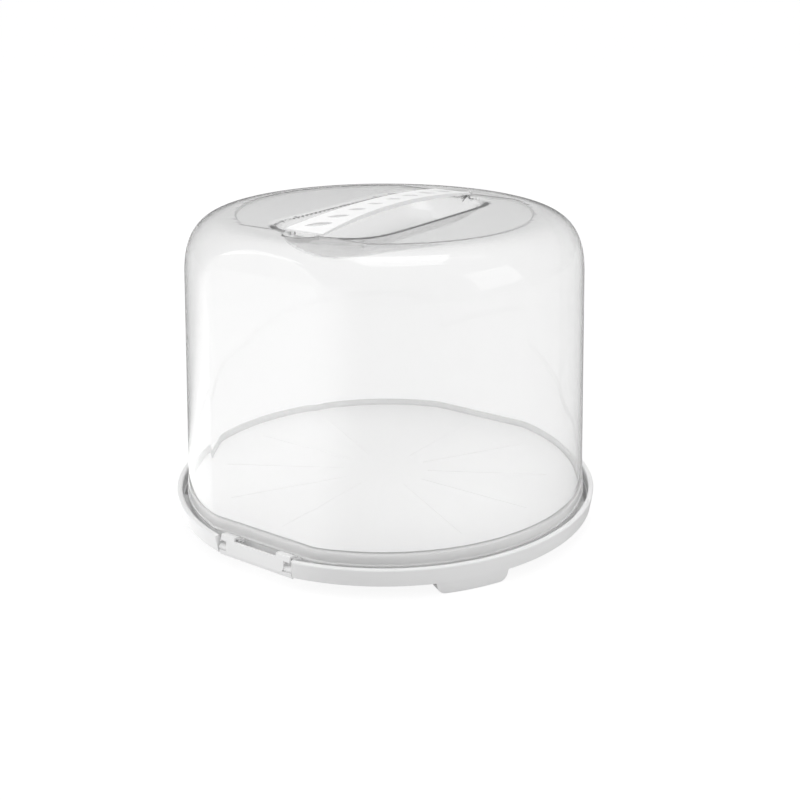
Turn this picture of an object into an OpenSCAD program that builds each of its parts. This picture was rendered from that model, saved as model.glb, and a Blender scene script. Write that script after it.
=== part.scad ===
// Round cake carrier: a tray with a raised deck, a clear hood that swings up on its rear clip,
// two swinging clips and an arched strap handle. X runs along the flats, Y along the handle,
// Z is up, and the origin is the centre of the table face under the feet.

/* [Tray] */
// Diameter over the tray's rim
rim_d = 355; // [340:1:380]
// Width of the rim's top
rim_w = 4.3; // [3.6:0.1:5.2]
// Height of the skirt, from its lower edge to the rim's top
rim_h = 14.2; // [13.4:0.1:17]
// How far the skirt leans in at its lower edge
skirt_lean = 1.8; // [0:0.1:2.2]
// Thickness of the skirt at its lower edge
skirt_t = 3.2; // [2.6:0.1:3.6]
// Rounding of the rim's two top edges
rim_round = 1.4; // [0.6:0.1:1.7]
// Height of the feet below the skirt's lower edge
foot_h = 9.9; // [8:0.1:14]
// Width of the channel between the rim and the deck
channel_w = 9.2; // [8.6:0.1:11]
// Depth of the channel below the rim's top
channel_depth = 11.1; // [10.4:0.1:12]
// Height of the deck above the rim's top
deck_rise = 3.9; // [2:0.1:6]
// Rounding of the deck's edge
deck_round = 1.5; // [0.5:0.1:2.5]
// How much the two flats cut off the round deck
flat_cut = 7.3; // [6:0.1:9]
// Depth of the hood's seat below the rim's top
seat_depth = 2.9; // [2.4:0.1:4]
// Width of the hood's seat beside the deck
seat_w = 2.8; // [2.4:0.1:3.2]
// Wall thickness of the tray
tray_t = 2.2; // [1.8:0.1:2.8]

/* [Portion marks] */
// Number of portions marked on the deck
portions = 12; // [6:2:16]
// Inner end of each mark, from the deck's centre
mark_in = 36; // [25:1:50]
// Outer end of each mark, from the deck's centre
mark_out = 138; // [110:1:150]
// Width of a mark
mark_w = 0.9; // [0.6:0.1:1.5]
// Depth of a mark
mark_depth = 0.2; // [0.1:0.05:0.6]

/* [Feet] */
// Angle of each foot from the X axis, in degrees
foot_angle = 32.5; // [28:0.5:45]
// Length of a foot at its top
foot_l = 60; // [40:1:70]
// Wall thickness of a foot
foot_t = 2.8; // [2.6:0.1:3.2]
// Rounding of a foot's lower corners
foot_round = 7; // [3:0.5:8]
// How much shorter each end of a foot is at the table
foot_taper = 4; // [1:0.5:8]
// How far a foot's outer face stands in from the skirt
foot_set = 0.7; // [0.3:0.1:1.5]
// How far a foot's outer face leans in at the table
foot_lean = 1; // [0.5:0.1:2.5]

/* [Clips] */
// Half width of the notch that a clip sits in
notch_half = 36.8; // [36:0.1:42]
// Rounding of the skirt's ends at a notch
notch_round = 1.2; // [0.8:0.1:1.5]
// Wall of the skirt outside a clip's pivot bore, where it is thinnest
bore_wall = 0.4; // [0.3:0.1:0.8]
// Depth of a clip's pivot below the rim's top
pivot_depth = 9.5; // [9.2:0.1:10]
// Radius of a clip's pivot pins
pin_r = 1.4; // [1.2:0.1:1.5]
// Length of each pivot pin inside the skirt
pin_l = 3; // [2.4:0.1:3.6]
// Clearance between a pivot pin's end and the skirt
pin_end_gap = 0.4; // [0.3:0.1:0.8]
// Running clearance round a pivot pin
pin_gap = 0.05; // [0.02:0.01:0.09]
// Thickness of the skirt's blocks beyond a pin's end
cheek_wall = 2.6; // [1.5:0.1:4]
// Clearance between the ends of a clip's barrel and the notch
clip_gap = 0.9; // [0.5:0.1:1.2]
// Clearance behind a clip's swing
swing_gap = 1; // [0.6:0.1:1.2]
// Radius of a clip's barrel
barrel_r = 2.5; // [2.3:0.1:2.8]
// Thickness of a clip's flap
flap_t = 1.8; // [1.4:0.1:2.2]
// Half length of a clip's flap
flap_half = 28.5; // [26:0.5:31]
// Rounding of the flap's corners
flap_round = 4; // [2:0.5:4.5]
// Height of the flap's top edge above the pivot
flap_up = 7.6; // [6.8:0.1:8]
// Height of the flap's lower edge below the pivot
flap_down = 2.9; // [2.7:0.1:3.2]
// How far the flap's face stands outside the pivot at its top
flap_top_out = 2.1; // [1.8:0.1:2.4]
// How far the flap's face stands outside the pivot at its lower edge
flap_foot_out = 3.6; // [3.3:0.1:3.8]
// Height of the finger lip's lower edge below the pivot
lip_down = 6.8; // [6:0.1:7]
// How far the lip's lower edge leans in from its upper edge
lip_lean = 1.4; // [0.6:0.1:1.6]
// Inner side of a clip's hooks, from the clip's middle
hook_in = 20.6; // [19:0.1:22]
// Outer side of a clip's hooks, from the clip's middle
hook_out = 34; // [32.5:0.1:34.3]
// Thickness of a hook
hook_t = 1.55; // [1.2:0.05:1.7]
// Clearance between a hook and the rod under it
hook_gap = 0.25; // [0.15:0.05:0.4]
// How far a hook reaches past the pivot's upright, in degrees
hook_reach = 38; // [34:1:39]

/* [Hood] */
// Wall thickness of the hood
hood_t = 2; // [1.6:0.1:2.4]
// Clearance between the deck's edge and the hood
deck_gap = 1.4; // [1:0.1:1.8]
// Gap between the hood's lower edge and its seat
seat_gap = 0.2; // [0.1:0.05:0.3]
// Height of the hood, without its handle
hood_h = 230.6; // [200:0.1:260]
// Height of the wider band at the hood's foot
band_h = 10.6; // [9:0.1:14]
// How far the band stands out from the hood's wall
band_out = 0.7; // [0.4:0.1:0.9]
// Thickness of the flange at the hood's lower edge
flange_t = 1.8; // [1.4:0.1:2]
// Height of the slope above the flange
flange_slope = 0.4; // [0.2:0.1:1]
// How far the flange stands out from the band
flange_out = 0.8; // [0.4:0.1:0.9]
// Lean of the hood's round wall, in degrees
wall_draft = 2.25; // [1.5:0.05:3]
// Lean of the hood's flats, in degrees
flat_draft = 2.45; // [1.5:0.05:3]
// Height over which the flats curve in, below the crown
flat_bend_h = 70; // [50:1:90]
// How far the flats have curved in at the height of the crown
flat_bend = 6; // [3:0.5:8]
// Height of the rounded shoulder
shoulder_h = 46; // [35:1:60]
// Radius of the flat crown
crown_r = 122; // [117:0.5:124]
// Fullness of the shoulder's curve, where 2 is an ellipse
shoulder_full = 2.6; // [2:0.1:2.8]
// Width of the crown's edge round the sunk panel
panel_edge = 4.5; // [1.5:0.5:8]
// How far the sunk panel stops short of the handle's ends
panel_end = 0.6; // [0.2:0.1:3]
// Depth of the sunk panel
panel_depth = 0.7; // [0.3:0.1:1]
// Radius of the hinge rods on the hood
rod_r = 1.3; // [1.1:0.1:1.5]
// How far the rods' centre lies inside the clip's pivot
rod_in = 2.9; // [2.7:0.1:3.1]
// Height of the rods' centre above the clip's pivot
rod_up = 7.1; // [7:0.1:7.3]
// Thickness of the ears that carry a rod
ear_t = 1.9; // [1.5:0.1:2.1]
// Height of the ears
ear_h = 2; // [1.6:0.1:2.2]
// Clearance between a hook's side and an ear
ear_gap = 0.45; // [0.3:0.05:0.5]

/* [Hand recess] */
// Half width of the hand recess
recess_half_w = 47.5; // [42:0.5:50]
// How far the hand recess stops short of the handle's ends
recess_end = 1.6; // [1:0.1:4]
// Depth of the hand recess
recess_depth = 22; // [18:0.5:26]
// Squareness of the recess's ends
recess_square = 8; // [6:2:10]
// Radius of the round pocket at each end of the handle
pocket_r = 13; // [12.5:0.1:14]
// How far each pocket's middle lies beyond the handle's end
pocket_out = 0.9; // [0.4:0.1:1.4]
// Depth of each pocket below the panel
pocket_depth = 2; // [1.5:0.1:2.5]

/* [Handle] */
// Height of the handle's top above the panel
handle_rise = 8.7; // [8:0.1:12]
// Height of the handle's ends above the panel
handle_end_rise = 2.1; // [2:0.1:3]
// Half length of the handle
handle_half = 102.6; // [102:0.1:103.4]
// Half width of the handle at its middle
handle_mid_w = 13; // [11:0.5:15]
// Half width of the handle at its ends
handle_end_w = 17.8; // [16:0.1:19]
// Thickness of the handle's strap
strap_t = 1.4; // [1.2:0.1:1.6]
// Depth of the turned-down edges at the middle
edge_mid = 3.4; // [2.6:0.1:4]
// Thickness of the turned-down edges
edge_t = 1.6; // [1.2:0.1:2]
// Number of slots
slots = 8; // [4:2:10]
// Distance from slot to slot
slot_pitch = 24.1; // [18:0.1:26]
// Length of the slots next to the middle
slot_mid_l = 13.5; // [8:0.5:14]
// How much longer the last slots are
slot_more_l = 8; // [0:0.5:9]
// Width of the last slots; the others narrow with their length
slot_w = 9; // [4:0.1:9.5]
// Slant of the slots from the X axis, in degrees
slot_slant = 44; // [30:1:60]
// Half distance between the two legs of an end
leg_x = 10.8; // [10:0.1:11]
// Width of a leg
leg_w = 2.8; // [2.4:0.1:3.2]
// Thickness of a leg
leg_t = 2.2; // [2:0.1:2.4]
// How far the legs stand in from the handle's ends
leg_inset = 0.2; // [0:0.1:0.4]
// Radius of the peg under each leg
peg_r = 1; // [0.8:0.1:1.05]
// Clearance round a peg
peg_gap = 0.05; // [0.03:0.01:0.1]

/* [Hidden] */
$fn = 96;
// Ends that cut clear of a face
over = 1;
// Steps of a small rounding, of the shoulder and of the hand recess
round_steps = 5;
shoulder_steps = 14;
recess_steps = 22;
bend_steps = 8;

// Heights, from the table up
rim_z = foot_h + rim_h;
channel_z = rim_z - channel_depth;
deck_z = rim_z + deck_rise;
seat_z = rim_z - seat_depth;
hood_z = seat_z + seat_gap;
step_z = hood_z + band_h;
crown_z = hood_z + hood_h;
panel_z = crown_z - panel_depth;
skin_z = panel_z - hood_t;
pocket_z = panel_z - pocket_depth;
shoulder_z = crown_z - shoulder_h;
pivot_z = rim_z - pivot_depth;
rod_z = pivot_z + rod_up;

// Radii and distances from the middle
rim_r = rim_d / 2;
rim_in = rim_r - rim_w;
skirt_r = rim_r - skirt_lean;
deck_r = rim_in - channel_w;
deck_flat = deck_r - flat_cut;
foot_in = deck_r + seat_w - tray_t;
hood_in = deck_r + deck_gap;
hood_r = hood_in + hood_t;
hood_flat_in = deck_flat + deck_gap;
hood_flat = hood_flat_in + hood_t;
bore_l = pin_l + pin_end_gap;
pivot_y = sqrt(pow(skirt_r, 2) - pow(notch_half + bore_l, 2)) - pin_r - pin_gap - bore_wall;
rod_y = pivot_y - rod_in;
shoulder_r = hood_r - (shoulder_z - step_z) * tan(wall_draft);

// Clip
rod_dist = norm([rod_in, rod_up]);
hook_ri = rod_dist + rod_r + hook_gap;
hook_ro = hook_ri + hook_t;
cheek_r = pin_r + tray_t;
clip_half = notch_half - clip_gap;
lip_sweep = norm([flap_foot_out + flap_t, lip_down]) + swing_gap;
cheek_l = bore_l + cheek_wall;

// Handle
handle_z = panel_z + handle_rise;
handle_drop = handle_rise - handle_end_rise;
arch_r = (handle_half * handle_half + handle_drop * handle_drop) / (2 * handle_drop);
arch_z = handle_z - arch_r;
panel_r = crown_r - panel_edge;
panel_half = handle_half - panel_end;
recess_half_l = handle_half - recess_end;
pocket_y = handle_half + pocket_out;
dish_up = (recess_half_w * recess_half_w / recess_depth - recess_depth) / 2;
leg_y = handle_half - leg_t / 2 - leg_inset;
last_slot_y = slot_pitch * (slots - 1) / 2;

// Points of an arc, from angle a to angle b
function arc(cx, cy, r, a, b, n = round_steps) =
    [for (i = [0:n]) [cx + r * cos(a + (b - a) * i / n), cy + r * sin(a + (b - a) * i / n)]];

// Distance of the hood's flats from the middle at a height, curving in near the crown
function flat_y(z) =
    hood_flat - (z - step_z) * tan(flat_draft)
    - flat_bend * pow(max(0, z - crown_z + flat_bend_h) / flat_bend_h, 2);

// Shoulder of the hood from its wall to the crown, drawn in by t
function shoulder(t, top) =
    [for (i = [0:shoulder_steps])
        let (a = 90 * i / shoulder_steps)
        [crown_r + (shoulder_r - t - crown_r) * pow(cos(a), 2 / shoulder_full),
         shoulder_z + (top - shoulder_z) * pow(sin(a), 2 / shoulder_full)]];

// Radius of the hand recess about its own level axis, at a distance along the handle
function dish_r(y, t) =
    dish_up + t + recess_depth * (1 - pow(abs(y) / (recess_half_l + t), recess_square));

// Half width of the handle at a distance from its middle
function strap_w(y) =
    handle_mid_w + (handle_end_w - handle_mid_w) * pow(y / handle_half, 2);

// A (Y, Z) outline drawn out along X
module along_x(length) {
    rotate([90, 0, 90])
        linear_extrude(length, center = true) children();
}

// A (Y, Z) outline that is the same on both sides of the middle, drawn out along X
module both_flats(side, length) {
    along_x(length)
        polygon(concat(side, [for (i = [len(side) - 1:-1:0]) [-side[i][0], side[i][1]]]));
}

// A round solid with two flats, from a radius, a distance to the flats and two heights
module flat_disc(r, flat, low, high) {
    intersection() {
        translate([0, 0, low]) cylinder(h = high - low, r = r);
        translate([-r - over, -flat, low - over]) cube([2 * r + 2 * over, 2 * flat, high - low + 2 * over]);
    }
}

// Both ends along Y
module at_both_ends() {
    children();
    rotate([0, 0, 180]) children();
}

// Both sides along X
module at_both_sides() {
    children();
    mirror([1, 0, 0]) children();
}

// Tray

module rim_ring() {
    rotate_extrude()
        polygon(concat(
            [[deck_flat - 2 * tray_t, channel_z - tray_t], [skirt_r - skirt_t, channel_z - tray_t],
             [skirt_r - skirt_t, foot_h], [skirt_r, foot_h]],
            arc(rim_r - rim_round, rim_z - rim_round, rim_round, 8, 90),
            arc(rim_in + rim_round, rim_z - rim_round, rim_round, 90, 180),
            [[rim_in, channel_z], [deck_flat - 2 * tray_t, channel_z]]));
}

module deck_block() {
    intersection() {
        rotate_extrude()
            polygon(concat(
                [[0, channel_z - tray_t], [deck_r, channel_z - tray_t]],
                arc(deck_r - deck_round, deck_z - deck_round, deck_round, 0, 90),
                [[0, deck_z]]));
        both_flats(concat(
            [[deck_flat, channel_z - tray_t - over]],
            arc(deck_flat - deck_round, deck_z - deck_round, deck_round, 0, 90)), 2 * deck_r + 2 * over);
    }
    flat_disc(deck_r + seat_w, deck_flat + seat_w, channel_z - tray_t, seat_z);
}

module deck_hollow() {
    flat_disc(deck_r - tray_t, deck_flat - tray_t, 0, deck_z - tray_t);
    flat_disc(deck_r + seat_w - tray_t, deck_flat + seat_w - tray_t, 0, seat_z - tray_t);
}

// Side outline of a foot, drawn in by t on all sides but the top
module foot_outline(t, top) {
    half = foot_l / 2 - t;
    base = half - foot_taper;
    r = foot_round - t;
    polygon(concat(
        [[half, top], [-half, top]],
        arc(-base + r * 0.55, t + r, r, 195, 270),
        arc(base - r * 0.55, t + r, r, 270, 345)));
}

module foot_body(t, top) {
    outer = skirt_r - foot_set - t;
    intersection() {
        rotate([90, 0, 90])
            translate([0, 0, foot_in / 2]) linear_extrude(rim_r) foot_outline(t, top);
        rotate([0, 0, -15]) rotate_extrude(angle = 30)
            polygon([[foot_in + t, t], [outer - foot_lean, t], [outer, foot_h], [outer, top], [foot_in + t, top]]);
    }
}

module at_feet() {
    for (a = [foot_angle, 180 - foot_angle, 180 + foot_angle, 360 - foot_angle])
        rotate([0, 0, a]) children();
}

// Room for a clip: the skirt and the channel's floor are open between two rounded ends
module notch() {
    translate([-notch_half, -rim_r - over, -over])
        cube([2 * notch_half, rim_r + over - pivot_y + lip_sweep, deck_z]);
    at_both_sides() {
        difference() {
            translate([notch_half - over, -rim_r - over, -over])
                cube([notch_round + over, rim_r - notch_y() + notch_round + over, deck_z]);
            translate([notch_half + notch_round, notch_round - notch_y(), -2 * over])
                cylinder(h = deck_z + 2 * over, r = notch_round);
            translate([notch_half - 2 * over, notch_round - notch_y(), -2 * over])
                cube([notch_round + 4 * over, notch_round + 4 * over, deck_z + 2 * over]);
        }
    }
}

// Distance from the middle at which the rounded skirt end meets the rim's outer face
function notch_y() = sqrt(pow(rim_r - 0.35, 2) - pow(notch_half + notch_round, 2));

// Blocks at a notch's ends that hold the clip's pivot pins
module cheeks() {
    at_both_sides()
        intersection() {
            translate([notch_half, -rim_r, channel_z - tray_t])
                cube([cheek_l, rim_r - pivot_y + cheek_r, pivot_z + cheek_r - channel_z + tray_t]);
            cylinder(h = rim_z, r = rim_in + over);
        }
}

module pivot_bores() {
    translate([-notch_half - bore_l, -pivot_y, pivot_z])
        rotate([0, 90, 0]) cylinder(h = 2 * (notch_half + bore_l), r = pin_r + pin_gap);
}

module portion_marks() {
    for (i = [0:portions - 1])
        rotate([0, 0, 360 * i / portions])
            translate([mark_in, -mark_w / 2, deck_z - mark_depth])
                cube([mark_out - mark_in, mark_w, mark_depth + over]);
}

module base_tray() {
    color("whitesmoke")
        difference() {
            union() {
                rim_ring();
                deck_block();
                at_both_ends() cheeks();
                at_feet() foot_body(0, channel_z - tray_t / 2);
            }
            deck_hollow();
            at_feet() foot_body(foot_t, channel_z + over);
            at_both_ends() notch();
            at_both_ends() pivot_bores();
            portion_marks();
        }
}

// Hood

module hood_outside() {
    flange_r = hood_r + band_out + flange_out;
    band_r = hood_r + band_out;
    intersection() {
        rotate_extrude()
            polygon(concat(
                [[0, hood_z], [flange_r, hood_z], [flange_r, hood_z + flange_t],
                 [band_r, hood_z + flange_t + flange_slope], [band_r, step_z - band_out], [hood_r, step_z]],
                shoulder(0, crown_z),
                [[0, crown_z]]));
        both_flats(concat(
            [[hood_flat + band_out + flange_out, hood_z - over],
             [hood_flat + band_out + flange_out, hood_z + flange_t],
             [hood_flat + band_out, hood_z + flange_t + flange_slope],
             [hood_flat + band_out, step_z - band_out],
             [hood_flat, step_z]],
            [for (i = [0:bend_steps])
                let (z = crown_z - flat_bend_h + (flat_bend_h + over) * i / bend_steps) [flat_y(z), z]]),
            2 * flange_r + 2 * over);
    }
}

module hood_inside() {
    intersection() {
        rotate_extrude()
            polygon(concat(
                [[0, hood_z - over], [hood_in, hood_z - over], [hood_in, step_z]],
                shoulder(hood_t, skin_z),
                [[0, skin_z]]));
        both_flats(concat(
            [[hood_flat_in, hood_z - 2 * over], [hood_flat_in, step_z]],
            [for (i = [0:bend_steps])
                let (z = crown_z - flat_bend_h + (flat_bend_h + over) * i / bend_steps)
                [flat_y(z) - hood_t, z]]),
            2 * hood_r);
    }
}

// Solid of the hand recess, grown by t
module recess(t) {
    half = recess_half_l + t;
    translate([0, 0, panel_z + dish_up])
        rotate([90, 0, 0])
            rotate_extrude()
                polygon(concat(
                    [[0, -half]],
                    [for (i = [0:recess_steps])
                        let (y = half * sin(-90 + 180 * i / recess_steps)) [dish_r(y, t), y]],
                    [[0, half]]));
}

module recess_shell() {
    intersection() {
        recess(hood_t);
        translate([0, 0, panel_z - recess_depth - 2 * hood_t])
            cylinder(h = recess_depth + 1.5 * hood_t, r = crown_r);
    }
}

// Ears and rods at one end, which a clip's hooks hold
module rod_pairs() {
    ear_in = hook_in - ear_gap - ear_t;
    ear_out = hook_out + ear_gap;
    at_both_sides() {
        translate([ear_in, -rod_y, rod_z])
            rotate([0, 90, 0]) cylinder(h = ear_out + ear_t - ear_in, r = rod_r);
        for (x = [ear_in, ear_out])
            translate([x, -rod_y, rod_z - rod_r])
                cube([ear_t, rod_y - hood_flat - band_out / 2, ear_h]);
    }
}

module peg_holes() {
    for (x = [-leg_x, leg_x])
        translate([x, -leg_y, pocket_z - hood_t - over])
            cylinder(h = hood_t + 2 * over, r = peg_r + peg_gap);
}

module hood_shell() {
    color("lightcyan", 0.5)
        difference() {
            union() {
                difference() {
                    hood_outside();
                    hood_inside();
                }
                recess_shell();
                at_both_ends()
                    translate([0, -pocket_y, pocket_z - hood_t])
                        cylinder(h = pocket_depth + hood_t / 2, r = pocket_r + hood_t);
                at_both_ends() rod_pairs();
            }
            flat_disc(panel_r, panel_half, panel_z, crown_z + over);
            recess(0);
            at_both_ends() {
                translate([0, -pocket_y, pocket_z])
                    cylinder(h = pocket_depth + hood_t, r = pocket_r);
                peg_holes();
            }
        }
}

// Handle

// A (Y, Z) band between the handle's arch and a lower arch, drawn out along X
module arch_band(drop_mid, drop_end, length) {
    fall = handle_drop - drop_mid + drop_end;
    low_r = (handle_half * handle_half + fall * fall) / (2 * fall);
    intersection() {
        along_x(length)
            difference() {
                translate([0, arch_z]) circle(r = arch_r, $fn = 360);
                translate([0, handle_z - drop_mid - low_r]) circle(r = low_r, $fn = 360);
            }
        translate([-length / 2, -handle_half, panel_z - 2 * handle_rise])
            cube([length, 2 * handle_half, 4 * handle_rise]);
    }
}

// Plan outline of the handle, drawn in by t at its sides
module strap_plan(t) {
    n = 12;
    ys = [for (i = [-n:n]) handle_half * i / n];
    translate([0, 0, panel_z - handle_rise - t])
        linear_extrude(3 * handle_rise + 2 * t)
            polygon(concat(
                [for (y = ys) [strap_w(y) - t, y]],
                [for (i = [2 * n:-1:0]) [t - strap_w(ys[i]), ys[i]]]));
}

// One lens-shaped slot of length l
module slot(l) {
    w = slot_w * l / (slot_mid_l + slot_more_l);
    r = (l * l + w * w) / (4 * w);
    intersection() {
        translate([0, r - w / 2]) circle(r = r);
        translate([0, w / 2 - r]) circle(r = r);
    }
}

module legs() {
    for (x = [-leg_x, leg_x]) {
        translate([x - leg_w / 2, -leg_y - leg_t / 2, pocket_z])
            cube([leg_w, leg_t, panel_z + handle_end_rise - strap_t / 2 - pocket_z]);
        translate([x, -leg_y, pocket_z - hood_t])
            cylinder(h = hood_t + over, r = peg_r);
    }
}

module strap_handle() {
    wide = 2 * handle_end_w + 2 * over;
    color("white")
        difference() {
            union() {
                intersection() {
                    arch_band(strap_t, strap_t, wide);
                    strap_plan(0);
                }
                intersection() {
                    arch_band(edge_mid, strap_t, wide);
                    difference() {
                        strap_plan(0);
                        strap_plan(edge_t);
                    }
                }
                at_both_ends() legs();
            }
            for (i = [0:slots - 1]) {
                y = slot_pitch * (i - (slots - 1) / 2);
                translate([0, y, panel_z - handle_rise])
                    rotate([0, 0, slot_slant])
                        linear_extrude(3 * handle_rise)
                            slot(slot_mid_l + slot_more_l * pow(y / last_slot_y, 2));
            }
        }
}

// Clips, drawn at the front end

// Outline of the flap's face, with rounded corners, drawn through along Y
module flap_face() {
    low = pivot_z - flap_down;
    high = pivot_z + flap_up;
    x = flap_half - flap_round;
    translate([0, -rim_r - 2 * over, 0])
        rotate([-90, 0, 0]) mirror([0, 1, 0])
            linear_extrude(4 * flap_t + rim_r - pivot_y)
                polygon(concat(
                    [[flap_half, high], [-flap_half, high]],
                    arc(-x, low + flap_round, flap_round, 180, 270),
                    arc(x, low + flap_round, flap_round, 270, 360)));
}

// Distances in these outlines run outwards from the pivot, and heights up from it
module clip_section(points, half) {
    translate([0, -pivot_y, pivot_z])
        along_x(2 * half)
            polygon([for (p = points) [-p[0], p[1]]]);
}

module flap() {
    intersection() {
        clip_section([
            [flap_top_out, flap_up], [flap_foot_out, 0.4 - flap_down], [flap_foot_out - 0.5, -flap_down],
            [flap_foot_out - flap_t, -flap_down], [flap_top_out - flap_t, flap_up]], flap_half);
        flap_face();
    }
}

module finger_lip() {
    top_out = flap_foot_out - 0.7;
    foot_out = top_out - lip_lean;
    clip_section([
        [0.6, -barrel_r + 0.6], [top_out, 0.8 - flap_down], [foot_out, 0.4 - lip_down],
        [foot_out - 0.4, -lip_down], [foot_out - 1.2, -lip_down],
        [foot_out - 1.6, 0.4 - lip_down], [foot_out - 0.6, -barrel_r - 1]], clip_half);
}

module hook() {
    translate([0, -pivot_y, pivot_z])
        rotate([90, 0, 90])
            translate([0, 0, hook_in])
                linear_extrude(hook_out - hook_in)
                    difference() {
                        polygon(concat(
                            [[0, 0]],
                            [for (a = [90 - hook_reach:4:98]) [2 * hook_ro * cos(a), 2 * hook_ro * sin(a)]]));
                        circle(r = hook_ri);
                        difference() {
                            circle(r = 4 * hook_ro);
                            circle(r = hook_ro);
                        }
                    }
}

// Web that carries a hook on the flap's top edge
module hook_web() {
    points = [
        [0, hook_ri + 0.1], [0, hook_ro - 0.1], [hook_ro * sin(7), hook_ro * cos(7)],
        [flap_top_out + 0.1, flap_up - 1.2], [flap_top_out - flap_t, flap_up - 1.6]];
    translate([0, -pivot_y, pivot_z])
        rotate([90, 0, 90])
            translate([0, 0, hook_in])
                linear_extrude(hook_out - hook_in)
                    polygon([for (p = points) [-p[0], p[1]]]);
}

module clip() {
    translate([-clip_half, -pivot_y, pivot_z])
        rotate([0, 90, 0]) cylinder(h = 2 * clip_half, r = barrel_r);
    translate([-notch_half - pin_l, -pivot_y, pivot_z])
        rotate([0, 90, 0]) cylinder(h = 2 * (notch_half + pin_l), r = pin_r);
    flap();
    finger_lip();
    at_both_sides() {
        hook();
        hook_web();
    }
}

module front_clip() {
    color("gainsboro") clip();
}

module rear_clip() {
    color("gainsboro") rotate([0, 0, 180]) clip();
}

base_tray();
hood_shell();
strap_handle();
front_clip();
rear_clip();
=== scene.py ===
import math
import bmesh
import bpy
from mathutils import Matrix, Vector
from mathutils.geometry import delaunay_2d_cdt


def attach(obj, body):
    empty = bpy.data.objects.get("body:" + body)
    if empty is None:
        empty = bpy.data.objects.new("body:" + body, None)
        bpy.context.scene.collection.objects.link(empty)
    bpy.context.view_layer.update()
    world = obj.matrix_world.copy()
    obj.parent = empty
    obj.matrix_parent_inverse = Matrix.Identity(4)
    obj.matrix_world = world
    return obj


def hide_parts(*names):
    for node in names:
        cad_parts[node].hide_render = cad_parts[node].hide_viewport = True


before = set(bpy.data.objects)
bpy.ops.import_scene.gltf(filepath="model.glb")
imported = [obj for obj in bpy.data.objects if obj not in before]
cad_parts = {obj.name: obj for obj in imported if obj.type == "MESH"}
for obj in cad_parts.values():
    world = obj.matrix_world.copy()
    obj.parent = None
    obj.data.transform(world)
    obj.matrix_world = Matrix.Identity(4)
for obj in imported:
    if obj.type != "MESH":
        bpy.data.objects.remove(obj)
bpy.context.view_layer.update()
mm = 0.001  # sizes below are in millimetres
print("frame loaded:", len(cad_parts), "nodes")


# A node at its place in the tree, with its settings
def newNode(tree, kind, place=(0, 0), **values):
    node = tree.nodes.new(kind)
    node.location = place
    for name, value in values.items():
        setattr(node, name, value)
    return node


# One step of arithmetic on sockets or plain numbers
def maths(tree, operation, first, second=None, place=(0, 0)):
    node = newNode(tree, "ShaderNodeMath", place, operation=operation)
    for slot, value in enumerate((first, second)):
        if value is None:
            continue
        if isinstance(value, (int, float)):
            node.inputs[slot].default_value = value
        else:
            tree.links.new(value, node.inputs[slot])
    return node.outputs[0]


grain = {"fineDetail": 3, "waveDetail": 2, "spotSize": 45, "spotDetail": 6, "rubFrom": 0.55, "rubTo": 0.75,
         "rubRoughness": 0.25, "toneSwing": 0.03, "fineShare": 0.25}
grainInputs = {"Roughness": 0.35, "Roughness Spread": 0.1, "Grain Size": 900.0, "Wave Size": 14.0, "Rub": 0.2}


# Fine moulding grain: a soft unevenness, a fine texture and a few rubbed spots
def makeGrainGroup():
    group = bpy.data.node_groups.new("mouldedGrain", "ShaderNodeTree")
    face = group.interface
    for name, value in grainInputs.items():
        face.new_socket(name, in_out="INPUT", socket_type="NodeSocketFloat").default_value = value
    tone = face.new_socket("Tone", in_out="INPUT", socket_type="NodeSocketColor")
    tone.default_value = (0.8, 0.8, 0.8, 1)
    face.new_socket("Color", in_out="OUTPUT", socket_type="NodeSocketColor")
    face.new_socket("Roughness", in_out="OUTPUT", socket_type="NodeSocketFloat")
    face.new_socket("Height", in_out="OUTPUT", socket_type="NodeSocketFloat")
    start = newNode(group, "NodeGroupInput", (-900, 0))
    end = newNode(group, "NodeGroupOutput", (700, 0))
    coords = newNode(group, "ShaderNodeTexCoord", (-900, 300))
    link = group.links.new
    noises = []
    for height, detail in ((300, "fineDetail"), (60, "waveDetail"), (-180, "spotDetail")):
        noise = newNode(group, "ShaderNodeTexNoise", (-600, height))
        noise.inputs["Detail"].default_value = grain[detail]
        link(coords.outputs["Object"], noise.inputs["Vector"])
        noises.append(noise)
    fine, wave, spots = noises
    link(start.outputs["Grain Size"], fine.inputs["Scale"])
    link(start.outputs["Wave Size"], wave.inputs["Scale"])
    spots.inputs["Scale"].default_value = grain["spotSize"]
    rubbed = newNode(group, "ShaderNodeMapRange", (-350, -180))
    rubbed.inputs["From Min"].default_value = grain["rubFrom"]
    rubbed.inputs["From Max"].default_value = grain["rubTo"]
    link(spots.outputs["Fac"], rubbed.inputs["Value"])
    rub = maths(group, "MULTIPLY", rubbed.outputs[0], start.outputs["Rub"], (-120, -180))
    swing = maths(group, "SUBTRACT", wave.outputs["Fac"], 0.5, (-350, 60))
    spread = maths(group, "MULTIPLY", swing, start.outputs["Roughness Spread"], (-120, 60))
    uneven = maths(group, "ADD", start.outputs["Roughness"], spread)
    worn = maths(group, "MULTIPLY", rub, grain["rubRoughness"])
    link(maths(group, "ADD", uneven, worn), end.inputs["Roughness"])
    shade = newNode(group, "ShaderNodeMapRange", (100, 300))
    shade.inputs["To Min"].default_value = 1 - grain["toneSwing"]
    shade.inputs["To Max"].default_value = 1 + grain["toneSwing"]
    link(wave.outputs["Fac"], shade.inputs["Value"])
    tint = newNode(group, "ShaderNodeVectorMath", (350, 300), operation="SCALE")
    link(start.outputs["Tone"], tint.inputs[0])
    link(shade.outputs[0], tint.inputs["Scale"])
    link(tint.outputs[0], end.inputs["Color"])
    texture = maths(group, "MULTIPLY", fine.outputs["Fac"], grain["fineShare"])
    link(maths(group, "ADD", texture, wave.outputs["Fac"], (300, -100)), end.inputs["Height"])
    return group


grainGroup = makeGrainGroup()


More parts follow.
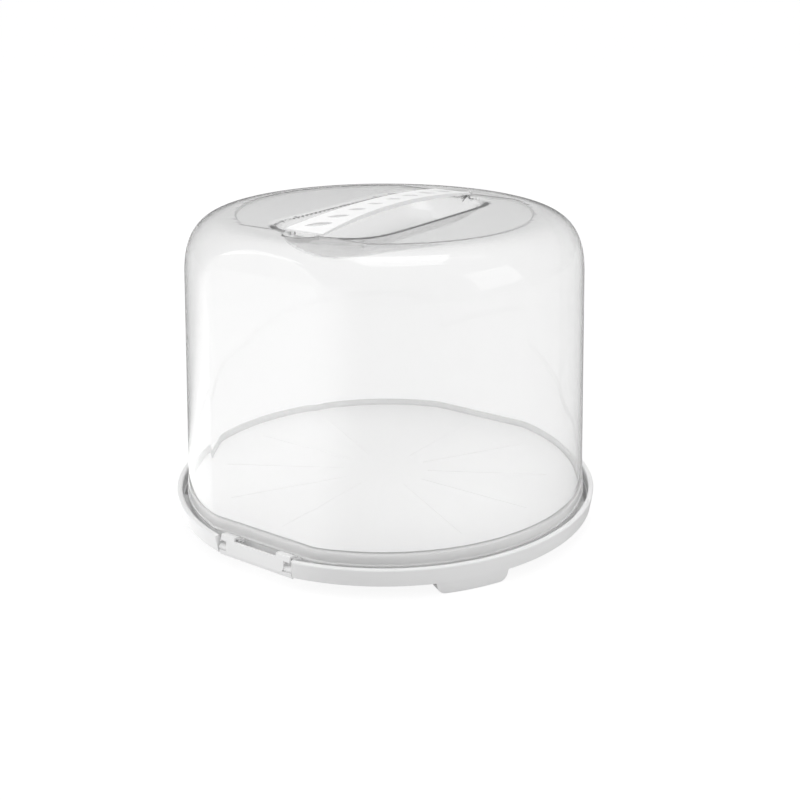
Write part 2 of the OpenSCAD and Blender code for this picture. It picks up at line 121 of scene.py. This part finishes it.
# A material whose roughness and bump come from the grain; gives the material and its grain node
def startPlastic(name, look):
    material = bpy.data.materials.new(name)
    material.use_nodes = True
    tree = material.node_tree
    shader = tree.nodes["Principled BSDF"]
    shader.inputs["IOR"].default_value = look["ior"]
    texture = newNode(tree, "ShaderNodeGroup", (-500, 0), node_tree=grainGroup)
    for key in grainInputs:
        texture.inputs[key].default_value = look[key]
    bump = newNode(tree, "ShaderNodeBump", (-250, -250))
    bump.inputs["Strength"].default_value = look["bump"]
    bump.inputs["Distance"].default_value = look["bumpDepth"] * mm
    tree.links.new(texture.outputs["Height"], bump.inputs["Height"])
    tree.links.new(texture.outputs["Roughness"], shader.inputs["Roughness"])
    tree.links.new(bump.outputs["Normal"], shader.inputs["Normal"])
    return material, texture


# White moulded plastic, used for the tray, the handle and the clips
def makePlastic(name, look):
    material, texture = startPlastic(name, look)
    tree = material.node_tree
    texture.inputs["Tone"].default_value = (*look["tone"], 1)
    tree.links.new(texture.outputs["Color"], tree.nodes["Principled BSDF"].inputs["Base Color"])
    return material


# roughness, grain and bump are those of the grain group; bump depths are in millimetres
plastics = {
    "tray": {"tone": (0.86, 0.86, 0.86), "ior": 1.49, "Roughness": 0.34, "Roughness Spread": 0.08,
             "Grain Size": 1100.0, "Wave Size": 9.0, "Rub": 0.25, "bump": 0.25, "bumpDepth": 0.12},
    "handle": {"tone": (0.95, 0.95, 0.95), "ior": 1.49, "Roughness": 0.38, "Roughness Spread": 0.08,
               "Grain Size": 1400.0, "Wave Size": 16.0, "Rub": 0.3, "bump": 0.25, "bumpDepth": 0.1},
    "clip": {"tone": (0.87, 0.87, 0.87), "ior": 1.49, "Roughness": 0.30, "Roughness Spread": 0.06,
             "Grain Size": 1500.0, "Wave Size": 20.0, "Rub": 0.2, "bump": 0.2, "bumpDepth": 0.08},
}
trayPlastic = makePlastic("trayPlastic", plastics["tray"])
handlePlastic = makePlastic("handlePlastic", plastics["handle"])
clipPlastic = makePlastic("clipPlastic", plastics["clip"])


# Clear plastic of the hood: refracts, absorbs a little along its thickness, lets lamps through
def makeClear(name, look):
    material, _ = startPlastic(name, look)
    tree = material.node_tree
    shader = tree.nodes["Principled BSDF"]
    out = tree.nodes["Material Output"]
    shader.inputs["Base Color"].default_value = (*look["tone"], 1)
    shader.inputs["Transmission Weight"].default_value = look["clear"]
    rays = newNode(tree, "ShaderNodeLightPath", (0, 400))
    through = newNode(tree, "ShaderNodeBsdfTransparent", (0, 150))
    through.inputs["Color"].default_value = (*look["shadowTone"], 1)
    mix = newNode(tree, "ShaderNodeMixShader", (300, 200))
    tree.links.new(rays.outputs["Is Shadow Ray"], mix.inputs["Fac"])
    tree.links.new(shader.outputs[0], mix.inputs[1])
    tree.links.new(through.outputs[0], mix.inputs[2])
    tree.links.new(mix.outputs[0], out.inputs["Surface"])
    body = newNode(tree, "ShaderNodeVolumeAbsorption", (300, -100))
    body.inputs["Color"].default_value = (*look["bodyTone"], 1)
    body.inputs["Density"].default_value = look["density"]
    tree.links.new(body.outputs[0], out.inputs["Volume"])
    return material


clearLook = {
    "tone": (0.96, 0.96, 0.96), "clear": 0.95, "ior": 1.46, "Roughness": 0.015, "Roughness Spread": 0.02,
    "Grain Size": 400.0, "Wave Size": 7.0, "Rub": 0.03, "bump": 0.05, "bumpDepth": 0.15,
    "shadowTone": (0.95, 0.95, 0.95), "bodyTone": (0.2, 0.2, 0.2), "density": 8.0,
}
edgeLook = {**clearLook, "clear": 0.5, "Roughness": 0.12}  # steps and rims look milky
dishShadeLook = {**clearLook, "tone": (0.91, 0.91, 0.91), "Roughness": 0.08}  # painted shade: the recess is tinted greyer than the rest of the clear plastic
clearPlastic = makeClear("clearPlastic", clearLook)
clearEdge = makeClear("clearEdge", edgeLook)
# painted shade: a greyer copy of the clear plastic for the hand recess
clearDishShade = makeClear("clearDishShade", dishShadeLook)
print("materials made")


def paint(thing, material):
    thing.data.materials.clear()
    thing.data.materials.append(material)


# Smooth shading, with sharp edges from an angle on where one is given
def smooth(mesh, angle=None):
    for face in mesh.polygons:
        face.use_smooth = True
    if angle is not None:
        mesh.set_sharp_from_angle(angle=math.radians(angle))


# A closed mesh from points in millimetres, merged and facing outwards
def addMesh(name, verts, faces, material):
    mesh = bpy.data.meshes.new(name)
    mesh.from_pydata([Vector(v) * mm for v in verts], [], faces)
    shape = bmesh.new()
    shape.from_mesh(mesh)
    bmesh.ops.remove_doubles(shape, verts=shape.verts, dist=1e-6)
    bmesh.ops.dissolve_degenerate(shape, edges=shape.edges, dist=1e-7)
    bmesh.ops.recalc_face_normals(shape, faces=shape.faces)
    shape.to_mesh(mesh)
    shape.free()
    smooth(mesh)
    thing = bpy.data.objects.new(name, mesh)
    bpy.context.scene.collection.objects.link(thing)
    paint(thing, material)
    return thing


hood = {
    # wall, flats and shoulder
    "wallR": 167.4, "flatY": 160.1, "wall": 2.0, "footZ": 21.4, "stepZ": 32.0, "crownZ": 252.0,
    "crownR": 122.0, "shoulderH": 46.0, "shoulderFull": 2.6, "wallDraft": 2.25, "flatDraft": 2.45,
    "flatBendH": 70.0, "flatBend": 6.0, "bandOut": 0.7, "flangeOut": 0.8, "flangeT": 1.8,
    # panel, recess and pockets of the crown
    "panelR": 117.5, "panelHalf": 102.0, "panelDepth": 0.7, "panelSlope": 0.5, "panelSoft": 0.3,
    "recessHalfW": 47.5, "recessHalfL": 101.0, "recessDepth": 22.0, "recessSquare": 8, "recessEdge": 5.0,
    "pocketR": 13.0, "pocketY": 103.5, "pocketDepth": 2.0, "pocketSlope": 2.5, "pocketSoft": 0.8,
    # fineness of the mesh: columns, rows, and the lines that the crown's mesh follows
    "roundColumns": 56, "flatColumns": 12, "edgeColumns": (8, 6.5, 5, 3.8, 2.6, 1.7, 0.8), "edgeSoft": 1.6,
    "wallRows": 22, "shoulderRows": 40, "archHalves": (52, 47, 42, 37, 32, 27, 22, 17, 12, 8, 4, 1.5, 0),
    "panelLines": (-0.4, -0.1, 0.15, 0.4, 0.65, 0.9, 1.3), "recessLines": (0, 0.5, 1.2, 2.1, 3.5, 5.5),
    "pocketLines": (-1.2, -0.7, -0.3, 0.3, 0.9, 1.6), "crownGrid": 3.2,
    # how far the milky faces reach past the foot's step, the panel's step and the pockets, and how far the
    # recess's painted shade (a greyer tint) reaches
    "footMilky": 0.6, "panelMilky": (-0.2, 0.3), "pocketMilky": 1.5, "recessShadeReach": 1.0,
}
shoulderZ = hood["crownZ"] - hood["shoulderH"]
panelZ = hood["crownZ"] - hood["panelDepth"]
skinZ = hood["crownZ"] - hood["wall"]
dishUp = (hood["recessHalfW"] ** 2 / hood["recessDepth"] - hood["recessDepth"]) / 2


# The lower of two sizes, with the edge between them rounded
def softMin(a, b, k):
    h = max(k - abs(a - b), 0) / k
    return min(a, b) - h * h * k / 4


# Radius of the wall at a height
def wallLine(z):
    return hood["wallR"] - (z - hood["stepZ"]) * math.tan(math.radians(hood["wallDraft"]))


# Distance of the flats from the middle at a height
def flatAt(z):
    bend = max(0, z - hood["crownZ"] + hood["flatBendH"]) / hood["flatBendH"]
    straight = hood["flatY"] - (z - hood["stepZ"]) * math.tan(math.radians(hood["flatDraft"]))
    return straight - hood["flatBend"] * bend ** 2


# Radius at a height, drawn in by t, for a shoulder that ends at the height top
def radiusAt(z, t, top):
    if z <= shoulderZ:
        return wallLine(z) - t
    up = min(1, (z - shoulderZ) / (top - shoulderZ))
    full = hood["shoulderFull"]
    return hood["crownR"] + (wallLine(z) - t - hood["crownR"]) * max(0, 1 - up ** full) ** (1 / full)


# Heights of the rows: the wall, the shoulder, and close rows where the flat's arch closes
def hoodRows(t, top, low):
    rows = [low + (shoulderZ - low) * i / hood["wallRows"] for i in range(hood["wallRows"] + 1)]
    count = hood["shoulderRows"]
    full = hood["shoulderFull"]
    for i in range(1, count + 1):
        rows.append(shoulderZ + (top - shoulderZ) * math.sin(math.pi / 2 * i / count) ** (2 / full))
    for want in hood["archHalves"]:
        a, b = shoulderZ - 30, top
        for _ in range(50):
            z = (a + b) / 2
            r, f = radiusAt(z, t, top), flatAt(z) - t
            if r > f and math.sqrt(r * r - f * f) > want:
                a = z
            else:
                b = z
        rows.append((a + b) / 2)
    rows.sort()
    kept = [rows[0]]
    for z in rows[1:]:
        if z - kept[-1] > 0.02:
            kept.append(z)
    kept[-1] = top
    return kept


# One quarter of a row, from the X axis to the Y axis, with close columns at the flat's soft edge
def quarterRow(r, f):
    edge = math.asin(min(1, f / r))
    near = hood["edgeColumns"]
    count = hood["roundColumns"]
    last = edge - near[0] / r
    angles = [last * i / count for i in range(count + 1)]
    angles += [edge - gap / r for gap in near[1:]] + [edge]
    left = math.pi / 2 - edge
    spread = min(near[0] / r, left * 0.5)
    angles += [edge + spread * gap / near[0] for gap in reversed(near)]
    count = hood["flatColumns"]
    angles += [edge + spread + (left - spread) * i / count for i in range(1, count + 1)]
    points = []
    for a in angles:
        reach = softMin(r, f / math.sin(a), hood["edgeSoft"]) if a > 0.5 else r
        points.append((reach * math.cos(a), reach * math.sin(a)))
    points[-1] = (0.0, points[-1][1])
    return points


# A whole row, mirrored from its quarter
def fullRow(r, f):
    quarter = quarterRow(r, f)
    ring = quarter + [(-x, y) for x, y in reversed(quarter[:-1])]
    return ring + [(x, -y) for x, y in reversed(ring[1:-1])]


# Rows of the outside, from the lip at the foot to the crown's edge
def outsideRings():
    rings = []
    low, base = hood["footZ"], hood["stepZ"]
    band, flange = hood["bandOut"], hood["bandOut"] + hood["flangeOut"]
    top = low + hood["flangeT"]
    # lip, flange, band and step, as pairs of height and how far they stand out from the wall
    foot = [(low, flange - 0.5), (low + 0.15, flange - 0.15), (low + 0.5, flange), (top - 0.7, flange),
            (top - 0.2, flange - 0.12), (top, flange - 0.35), (top + 0.15, band + 0.3),
            (top + 0.5, band + 0.08), (top + 1, band), (top + 2, band), (base - 3, band), (base - 1.2, band),
            (base - 0.8, band - 0.08), (base - 0.3, 0.12), (base + 0.1, 0.0), (base + 0.5, 0.0)]
    for z, out in foot:
        rings.append([(x, y, z) for x, y in fullRow(wallLine(base) + out, flatAt(base) + out)])
    for z in hoodRows(0, hood["crownZ"], base + 1.5):
        rings.append([(x, y, z) for x, y in fullRow(radiusAt(z, 0, hood["crownZ"]), flatAt(z))])
    return rings


# Rows of the inside, with a small chamfer at the foot
def insideRings():
    rings = []
    t = hood["wall"]
    low, base = hood["footZ"], hood["stepZ"]
    for z, out in ((low, 0.35), (low + 0.35, 0.0), (low + 3, 0.0), (base - 2, 0.0)):
        rings.append([(x, y, z) for x, y in fullRow(wallLine(base) - t + out, flatAt(base) - t + out)])
    for z in hoodRows(t, skinZ, base + 1):
        rings.append([(x, y, z) for x, y in fullRow(radiusAt(z, t, skinZ), flatAt(z) - t)])
    return rings


# Height of the hand recess, a bowl round a level axis; beyond the bowl it gives a height above the panel
def dishHeight(x, y, t):
    along = (abs(y) / (hood["recessHalfL"] + t)) ** hood["recessSquare"]
    r = dishUp + t + hood["recessDepth"] * (1 - along)
    if r <= abs(x) + 0.01:
        return panelZ + dishUp
    return panelZ + dishUp - math.sqrt(r * r - x * x)


# How far a point lies outside the sunk panel
def panelGap(x, y):
    return max(math.hypot(x, y) - hood["panelR"], abs(y) - hood["panelHalf"])


# Height of the crown's outside (t = 0) or inside (t = the wall), with the sunk panel, pockets and recess
def crownHeight(x, y, t):
    slope = panelZ + max(0, panelGap(x, y)) * hood["panelSlope"]
    z = softMin(hood["crownZ"], slope, hood["panelSoft"]) - t
    reach = math.hypot(x, abs(y) - hood["pocketY"]) - hood["pocketR"] - t * 0.5
    rise = max(0, reach + hood["pocketDepth"] / hood["pocketSlope"]) * hood["pocketSlope"]
    z = softMin(z, panelZ - hood["pocketDepth"] - t + rise, hood["pocketSoft"])
    return softMin(z, dishHeight(x, y, t), hood["recessEdge"])


# Closed outline of the hand recess at a level below the panel
def recessOutline(level):
    half = hood["recessHalfL"]
    depth, square = hood["recessDepth"], hood["recessSquare"]
    yEnd = half * (1 - level / depth) ** (1 / square)
    points = []
    count = 150
    for i in range(count):
        a = math.tau * i / count
        y = yEnd * math.copysign(abs(math.sin(a)) ** 0.55, math.sin(a)) if math.sin(a) else 0
        r = dishUp + depth * (1 - (abs(y) / half) ** square)
        x = math.sqrt(max(0, r * r - (dishUp + level) ** 2))
        points.append((math.copysign(x, math.cos(a)), y))
    return points


# Closed outline round the sunk panel: a circle with two flats
def panelOutline(gap):
    r, half = hood["panelR"] + gap, hood["panelHalf"] + gap
    points = []
    count = 220
    for i in range(count):
        a = math.tau * i / count
        x, y = r * math.cos(a), r * math.sin(a)
        if abs(y) < half:
            points.append((x, y))
    corner = math.sqrt(r * r - half * half)
    line = [(corner * (1 - 2 * i / 14), half) for i in range(15)]
    upper = [p for p in points if p[1] >= 0]
    lower = [p for p in points if p[1] < 0]
    right = [p for p in upper if p[0] > 0]
    left = [p for p in upper if p[0] <= 0]
    lowLeft = [p for p in lower if p[0] <= 0]
    lowRight = [p for p in lower if p[0] > 0]
    return right + line + left + lowLeft + [(-x, -y) for x, y in line] + lowRight


# The crown inside its edge, triangulated so that every outline on it is an edge of the mesh
def crownPlan(ring):
    points = [Vector(p[:2]) for p in ring]
    edges = [(i, (i + 1) % len(points)) for i in range(len(points))]

    def addLoop(loop):
        start = len(points)
        points.extend(Vector(p) for p in loop)
        edges.extend((start + i, start + (i + 1) % len(loop)) for i in range(len(loop)))

    for gap in hood["panelLines"]:
        addLoop(panelOutline(gap))
    for level in hood["recessLines"]:
        addLoop(recessOutline(level))
    round72 = [(math.cos(math.tau * i / 72), math.sin(math.tau * i / 72)) for i in range(72)]
    for y in (hood["pocketY"], -hood["pocketY"]):
        for line in hood["pocketLines"]:
            r = hood["pocketR"] + line
            addLoop([(r * c, y + r * s) for c, s in round72])
    step = hood["crownGrid"]
    rowShare = 0.866  # row distance over column distance, for a grid of even triangles
    rows = int(hood["crownR"] / (step * rowShare)) + 1
    for j in range(-rows, rows + 1):
        for i in range(-rows, rows + 1):
            x, y = (i + 0.5 * (j % 2)) * step, j * step * rowShare
            if math.hypot(x, y) < hood["crownR"] - 1.5 and abs(panelGap(x, y)) > 1.2:
                points.append(Vector((x, y)))
    verts, _, faces, *_ = delaunay_2d_cdt(points, edges, [], 0, 1e-4)

    def inCrown(face):
        middle = sum((verts[i] for i in face), Vector((0, 0))) / 3
        return math.hypot(*middle) < hood["crownR"]

    return verts, [face for face in faces if inCrown(face)]


# The closed shell of the hood: outside and inside rows, the foot's lip, and the crown twice
def makeHood():
    verts, faces = [], []

    def addRings(rings, inward):
        start = len(verts)
        n = len(rings[0])
        for ring in rings:
            verts.extend(ring)
        for j in range(len(rings) - 1):
            for i in range(n):
                a, b = start + j * n + i, start + j * n + (i + 1) % n
                face = (a, b, b + n, a + n)
                faces.append(face[::-1] if inward else face)
        return start

    outer, inner = outsideRings(), insideRings()
    outStart = addRings(outer, False)
    inStart = addRings(inner, True)
    n = len(outer[0])
    for i in range(n):
        a, b = outStart + i, outStart + (i + 1) % n
        c, d = inStart + (i + 1) % n, inStart + i
        faces.append((a, d, c, b))
    plan, tris = crownPlan(outer[-1])
    for t, inward, rim in ((0, False, hood["crownZ"]), (hood["wall"], True, skinZ)):
        start = len(verts)
        for p in plan:
            z = rim if math.hypot(*p) > hood["crownR"] - 0.01 else crownHeight(p.x, p.y, t)
            verts.append((p.x, p.y, z))
        for f in tris:
            face = tuple(start + i for i in f)
            faces.append(face[::-1] if inward else face)
    return addMesh("hoodDome", verts, faces, clearPlastic)


# The foot, the panel's step and the pockets look milky; the recess gets a greyer tint, a painted shade
def markEdges(mesh):
    mesh.materials.append(clearEdge)
    mesh.materials.append(clearDishShade)
    edgeSlot, dishShadeSlot = 1, 2
    dishZ = panelZ - hood["recessDepth"] - 2 * hood["wall"]
    inward, outward = hood["panelMilky"]
    for face in mesh.polygons:
        x, y, z = (v / mm for v in face.center)
        if z < hood["stepZ"] + hood["footMilky"]:
            face.material_index = edgeSlot
        elif z > dishZ and math.hypot(x, y) < hood["crownR"] - 1:
            t = 0 if face.normal.z > 0 else hood["wall"]
            reach = math.hypot(x, abs(y) - hood["pocketY"]) - hood["pocketR"]
            step = inward < panelGap(x, y) < hood["panelDepth"] / hood["panelSlope"] + outward
            # painted shade: faces in and near the recess get the greyer-tinted clear plastic
            if panelZ - t - dishHeight(x, y, t) > -hood["recessShadeReach"]:
                face.material_index = dishShadeSlot
            elif step or reach < hood["pocketMilky"]:
                face.material_index = edgeSlot


dome = makeHood()
markEdges(dome.data)
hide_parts("hood_shell")
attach(dome, "hood")
print("hood made:", len(dome.data.polygons), "faces")


rods = {
    "radius": 1.3, "length": 18.1, "sides": 32, "sharpFrom": 30,
    "middle": 27.3, "reach": 166.29, "height": 21.7,  # where the middle of each rod lies
    "earT": 1.9, "earDeep": 5.84, "earTop": 0.7, "earLow": -1.3,  # top and low from the rod's axis
}


# The rods that the hooks hold: one rod with its two ears, set at four points round the foot
def makeRods():
    tree = bpy.data.node_groups.new("rodRow", "GeometryNodeTree")
    face = tree.interface
    face.new_socket("Geometry", in_out="INPUT", socket_type="NodeSocketGeometry")
    face.new_socket("Geometry", in_out="OUTPUT", socket_type="NodeSocketGeometry")
    ids = {}
    for name in ("Rod Length", "Middle", "Reach"):
        ids[name] = face.new_socket(name, in_out="INPUT", socket_type="NodeSocketFloat").identifier
    start = newNode(tree, "NodeGroupInput", (-1200, 0))
    end = newNode(tree, "NodeGroupOutput", (1200, 0))
    link = tree.links.new

    def moved(geometry, place, x=None, turn=(0, 0, 0)):
        node = newNode(tree, "GeometryNodeTransform")
        node.inputs["Rotation"].default_value = turn
        node.inputs["Translation"].default_value = place
        if x is not None:
            at = newNode(tree, "ShaderNodeCombineXYZ")
            link(x, at.inputs["X"])
            at.inputs["Y"].default_value, at.inputs["Z"].default_value = place[1:]
            link(at.outputs[0], node.inputs["Translation"])
        link(geometry, node.inputs["Geometry"])
        return node.outputs["Geometry"]

    rod = newNode(tree, "GeometryNodeMeshCylinder", (-900, 300))
    rod.inputs["Vertices"].default_value = rods["sides"]
    rod.inputs["Radius"].default_value = rods["radius"] * mm
    link(start.outputs["Rod Length"], rod.inputs["Depth"])
    ear = newNode(tree, "GeometryNodeMeshCube", (-900, 0))
    earSize = (rods["earT"], rods["earDeep"], rods["earTop"] - rods["earLow"])
    ear.inputs["Size"].default_value = [v * mm for v in earSize]
    between = maths(tree, "SUBTRACT", start.outputs["Rod Length"], rods["earT"] * mm)
    out = maths(tree, "MULTIPLY", between, 0.5)
    earPlace = [v * mm for v in (0, -rods["earDeep"] / 2, (rods["earTop"] + rods["earLow"]) / 2)]
    one = newNode(tree, "GeometryNodeJoinGeometry", (-300, 0))
    link(moved(rod.outputs["Mesh"], (0, 0, 0), turn=(0, math.pi / 2, 0)), one.inputs[0])
    link(moved(ear.outputs["Mesh"], earPlace, x=out), one.inputs[0])
    link(moved(ear.outputs["Mesh"], earPlace, x=maths(tree, "MULTIPLY", out, -1)), one.inputs[0])
    spots = newNode(tree, "GeometryNodeMeshGrid", (-300, 400))
    spots.inputs["Vertices X"].default_value = spots.inputs["Vertices Y"].default_value = 2
    link(maths(tree, "MULTIPLY", start.outputs["Middle"], 2), spots.inputs["Size X"])
    link(maths(tree, "MULTIPLY", start.outputs["Reach"], 2), spots.inputs["Size Y"])
    where = newNode(tree, "GeometryNodeInputPosition", (-300, -300))
    parts = newNode(tree, "ShaderNodeSeparateXYZ", (-100, -300))
    link(where.outputs[0], parts.inputs[0])
    # the ears point to the middle, so the rods of the near end are turned round
    turn = newNode(tree, "ShaderNodeCombineXYZ", (300, -300))
    nearEnd = maths(tree, "LESS_THAN", parts.outputs["Y"], 0)
    link(maths(tree, "MULTIPLY", nearEnd, math.pi), turn.inputs["Z"])
    copies = newNode(tree, "GeometryNodeInstanceOnPoints", (500, 0))
    link(spots.outputs["Mesh"], copies.inputs["Points"])
    link(one.outputs[0], copies.inputs["Instance"])
    link(turn.outputs[0], copies.inputs["Rotation"])
    real = newNode(tree, "GeometryNodeRealizeInstances", (700, 0))
    link(copies.outputs["Instances"], real.inputs[0])
    tint = newNode(tree, "GeometryNodeSetMaterial", (1000, 0))
    tint.inputs["Material"].default_value = clearEdge
    link(moved(real.outputs[0], (0, 0, rods["height"] * mm)), tint.inputs["Geometry"])
    link(tint.outputs[0], end.inputs[0])

    seed = bpy.data.objects.new("hoodRodsSeed", bpy.data.meshes.new("hoodRodsSeed"))
    bpy.context.scene.collection.objects.link(seed)
    row = seed.modifiers.new("rodRow", "NODES")
    row.node_group = tree
    for name, key in (("Rod Length", "length"), ("Middle", "middle"), ("Reach", "reach")):
        row[ids[name]] = rods[key] * mm
    graph = bpy.context.evaluated_depsgraph_get()
    mesh = bpy.data.meshes.new_from_object(seed.evaluated_get(graph))
    mesh.name = "hoodRods"
    bpy.data.objects.remove(seed)
    thing = bpy.data.objects.new("hoodRods", mesh)
    bpy.context.scene.collection.objects.link(thing)
    smooth(mesh, rods["sharpFrom"])
    return thing


hoodRods = makeRods()
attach(hoodRods, "hood")
print("rods made:", len(hoodRods.data.polygons), "faces")


# A new material on one of the part's own solids
def dress(node, material):
    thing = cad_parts[node]
    for slot in thing.material_slots:
        slot.material = material
    if not thing.material_slots:
        thing.data.materials.append(material)


dress("base_tray", trayPlastic)
dress("strap_handle", handlePlastic)
dress("front_clip", clipPlastic)
dress("rear_clip", clipPlastic)
print("tray, handle and clips painted")


# the photo's camera: place in metres, angles in degrees, focal length in pixels of the photo
view = {"place": (0.55203, -0.77562, 0.43596), "yaw": 34.699, "pitch": 19.9035, "focal": 1198.02,
        "image": 800, "sensor": 36}


def addCamera():
    data = bpy.data.cameras.new("photoCamera")
    data.sensor_width = view["sensor"]
    data.lens = view["focal"] * view["sensor"] / view["image"]
    data.clip_start, data.clip_end = 0.01, 200
    camera = bpy.data.objects.new("photoCamera", data)
    camera.location = view["place"]
    camera.rotation_euler = (math.radians(90 - view["pitch"]), 0, math.radians(view["yaw"]))
    bpy.context.scene.collection.objects.link(camera)
    bpy.context.scene.camera = camera


addCamera()
studio = {
    "floorSize": 60.0, "floorGlow": 0.9, "floorTone": 0.14, "floorBounce": 0.7, "ambient": 0.92,
    # seen in a gloss only: the surroundings, darker high up, a white card and a bar of light overhead
    "surround": 0.36, "high": 0.2, "highFrom": (0.1, 0.55),
    "cardAzimuth": 213.0, "cardWide": (36.0, 58.0), "cardTone": 1.8,
    "barTone": 0.75, "barAlong": (-0.1, 0.95), "barAcross": (0.04, 0.22), "barSoft": 0.1, "barLow": 0.05,
    "lampAim": (0, 0, 0.12),
    "lamps": [
        {"name": "keyLamp", "place": (-1.3, -0.9, 1.3), "size": (1.2, 0.9), "power": 9.0},
        {"name": "topLamp", "place": (0.1, 0.1, 1.9), "size": (1.1, 0.9), "power": 8.0},
        {"name": "sideLamp", "place": (1.6, 0.3, 0.9), "size": (0.9, 0.9), "power": 4.0},
    ],
}


# A value that runs smoothly from one number to another
def fade(tree, value, fromMin, fromMax, toMin, toMax):
    node = newNode(tree, "ShaderNodeMapRange", interpolation_type="SMOOTHSTEP")
    limits = {"From Min": fromMin, "From Max": fromMax, "To Min": toMin, "To Max": toMax}
    for name, number in limits.items():
        node.inputs[name].default_value = number
    tree.links.new(value, node.inputs["Value"])
    return node.outputs["Result"]


# Which rays see the plain white background, which come off a gloss and which light the object;
# a refracted ray counts as glossy too, so it is taken away from the gloss
def sortRays(tree):
    rays = newNode(tree, "ShaderNodeLightPath", (-1500, 400)).outputs
    straight = maths(tree, "MAXIMUM", rays["Is Camera Ray"], rays["Is Transmission Ray"])
    mirrored = maths(tree, "SUBTRACT", rays["Is Glossy Ray"], rays["Is Transmission Ray"])
    return straight, maths(tree, "MAXIMUM", mirrored, 0), rays["Is Diffuse Ray"]


# What a gloss finds round the object: grey surroundings, and a white card at the front left
def surroundTone(tree, x, y):
    turn = math.radians(studio["cardAzimuth"])
    squares = (maths(tree, "MULTIPLY", v, v) for v in (x, y))
    flat = maths(tree, "SQRT", maths(tree, "ADD", *squares))
    shares = (maths(tree, "MULTIPLY", x, math.sin(turn)), maths(tree, "MULTIPLY", y, math.cos(turn)))
    toCard = maths(tree, "DIVIDE", maths(tree, "ADD", *shares), flat)
    near, far = (math.cos(math.radians(a)) for a in studio["cardWide"])
    return fade(tree, toCard, far, near, studio["surround"], studio["cardTone"])


# The floor looks white, keeps the shadow, and throws a little light back up
def addFloor():
    half = studio["floorSize"] / 2
    corners = [(-half, -half, 0), (half, -half, 0), (half, half, 0), (-half, half, 0)]
    mesh = bpy.data.meshes.new("studioFloor")
    mesh.from_pydata(corners, [], [(0, 1, 2, 3)])
    floor = bpy.data.objects.new("studioFloor", mesh)
    bpy.context.scene.collection.objects.link(floor)
    material = bpy.data.materials.new("floorPaper")
    material.use_nodes = True
    tree = material.node_tree
    tree.nodes.clear()
    out = newNode(tree, "ShaderNodeOutputMaterial", (600, 0))
    paper = newNode(tree, "ShaderNodeBsdfDiffuse", (0, 0))
    glow = newNode(tree, "ShaderNodeEmission", (0, -200))
    seen, mirrored, diffused = sortRays(tree)
    coords = newNode(tree, "ShaderNodeTexCoord", (-1500, 0))
    parts = newNode(tree, "ShaderNodeSeparateXYZ", (-1300, 0))
    tree.links.new(coords.outputs["Object"], parts.inputs[0])
    around = surroundTone(tree, parts.outputs["X"], parts.outputs["Y"])
    shine = maths(tree, "MULTIPLY", mirrored, maths(tree, "SUBTRACT", around, studio["floorTone"]))
    white = maths(tree, "MULTIPLY", seen, studio["floorGlow"])
    tree.links.new(maths(tree, "ADD", white, shine), glow.inputs["Strength"])
    bounce = maths(tree, "MULTIPLY", diffused, studio["floorBounce"] - studio["floorTone"])
    tree.links.new(maths(tree, "ADD", bounce, studio["floorTone"]), paper.inputs["Color"])
    both = newNode(tree, "ShaderNodeAddShader", (300, 0))
    tree.links.new(paper.outputs[0], both.inputs[0])
    tree.links.new(glow.outputs[0], both.inputs[1])
    tree.links.new(both.outputs[0], out.inputs["Surface"])
    paint(floor, material)


# White for the camera and through the hood, even light on the object, and its own picture for a gloss
def addWorld():
    world = bpy.data.worlds.new("studioWorld")
    world.use_nodes = True
    bpy.context.scene.world = world
    tree = world.node_tree
    tree.nodes.clear()
    out = newNode(tree, "ShaderNodeOutputWorld", (800, 0))
    coords = newNode(tree, "ShaderNodeTexCoord", (-800, 0))
    parts = newNode(tree, "ShaderNodeSeparateXYZ", (-600, 0))
    tree.links.new(coords.outputs["Generated"], parts.inputs[0])
    x, y, z = (parts.outputs[axis] for axis in "XYZ")
    lifted = maths(tree, "MAXIMUM", z, studio["barLow"])
    u, v = maths(tree, "DIVIDE", x, lifted), maths(tree, "DIVIDE", y, lifted)
    bar = 1
    for value, (low, high) in ((maths(tree, "ADD", u, v), studio["barAlong"]),
                               (maths(tree, "SUBTRACT", v, u), studio["barAcross"])):
        soft = studio["barSoft"]
        bar = maths(tree, "MULTIPLY", fade(tree, value, low - soft, low + soft, 0, 1), bar)
        bar = maths(tree, "MULTIPLY", fade(tree, value, high - soft, high + soft, 1, 0), bar)
    around = maths(tree, "MULTIPLY", surroundTone(tree, x, y), fade(tree, z, *studio["highFrom"], 1, 0))
    above = fade(tree, z, *studio["highFrom"], 0, studio["high"])
    gloss = maths(tree, "ADD", maths(tree, "ADD", around, above),
                  maths(tree, "MULTIPLY", bar, studio["barTone"]))
    straight, mirrored, _ = sortRays(tree)
    rest = maths(tree, "SUBTRACT", 1, maths(tree, "ADD", straight, mirrored))
    tone = maths(tree, "ADD", straight, maths(tree, "MULTIPLY", rest, studio["ambient"]))
    tone = maths(tree, "ADD", tone, maths(tree, "MULTIPLY", mirrored, gloss))
    sky = newNode(tree, "ShaderNodeBackground", (400, 0))
    tree.links.new(tone, sky.inputs["Strength"])
    tree.links.new(sky.outputs[0], out.inputs["Surface"])


def addLamps():
    for lamp in studio["lamps"]:
        data = bpy.data.lights.new(lamp["name"], "AREA")
        data.shape = "RECTANGLE"
        data.size, data.size_y = lamp["size"]
        data.energy = lamp["power"]
        thing = bpy.data.objects.new(lamp["name"], data)
        thing.location = lamp["place"]
        aim = Vector(studio["lampAim"]) - Vector(lamp["place"])
        thing.rotation_euler = aim.to_track_quat("-Z", "Y").to_euler()
        thing.visible_glossy = False  # its mirror image would be a hard rectangle
        bpy.context.scene.collection.objects.link(thing)


addFloor()
addWorld()
addLamps()
bpy.context.scene.view_settings.view_transform = "Standard"
print("camera, floor and lamps placed")
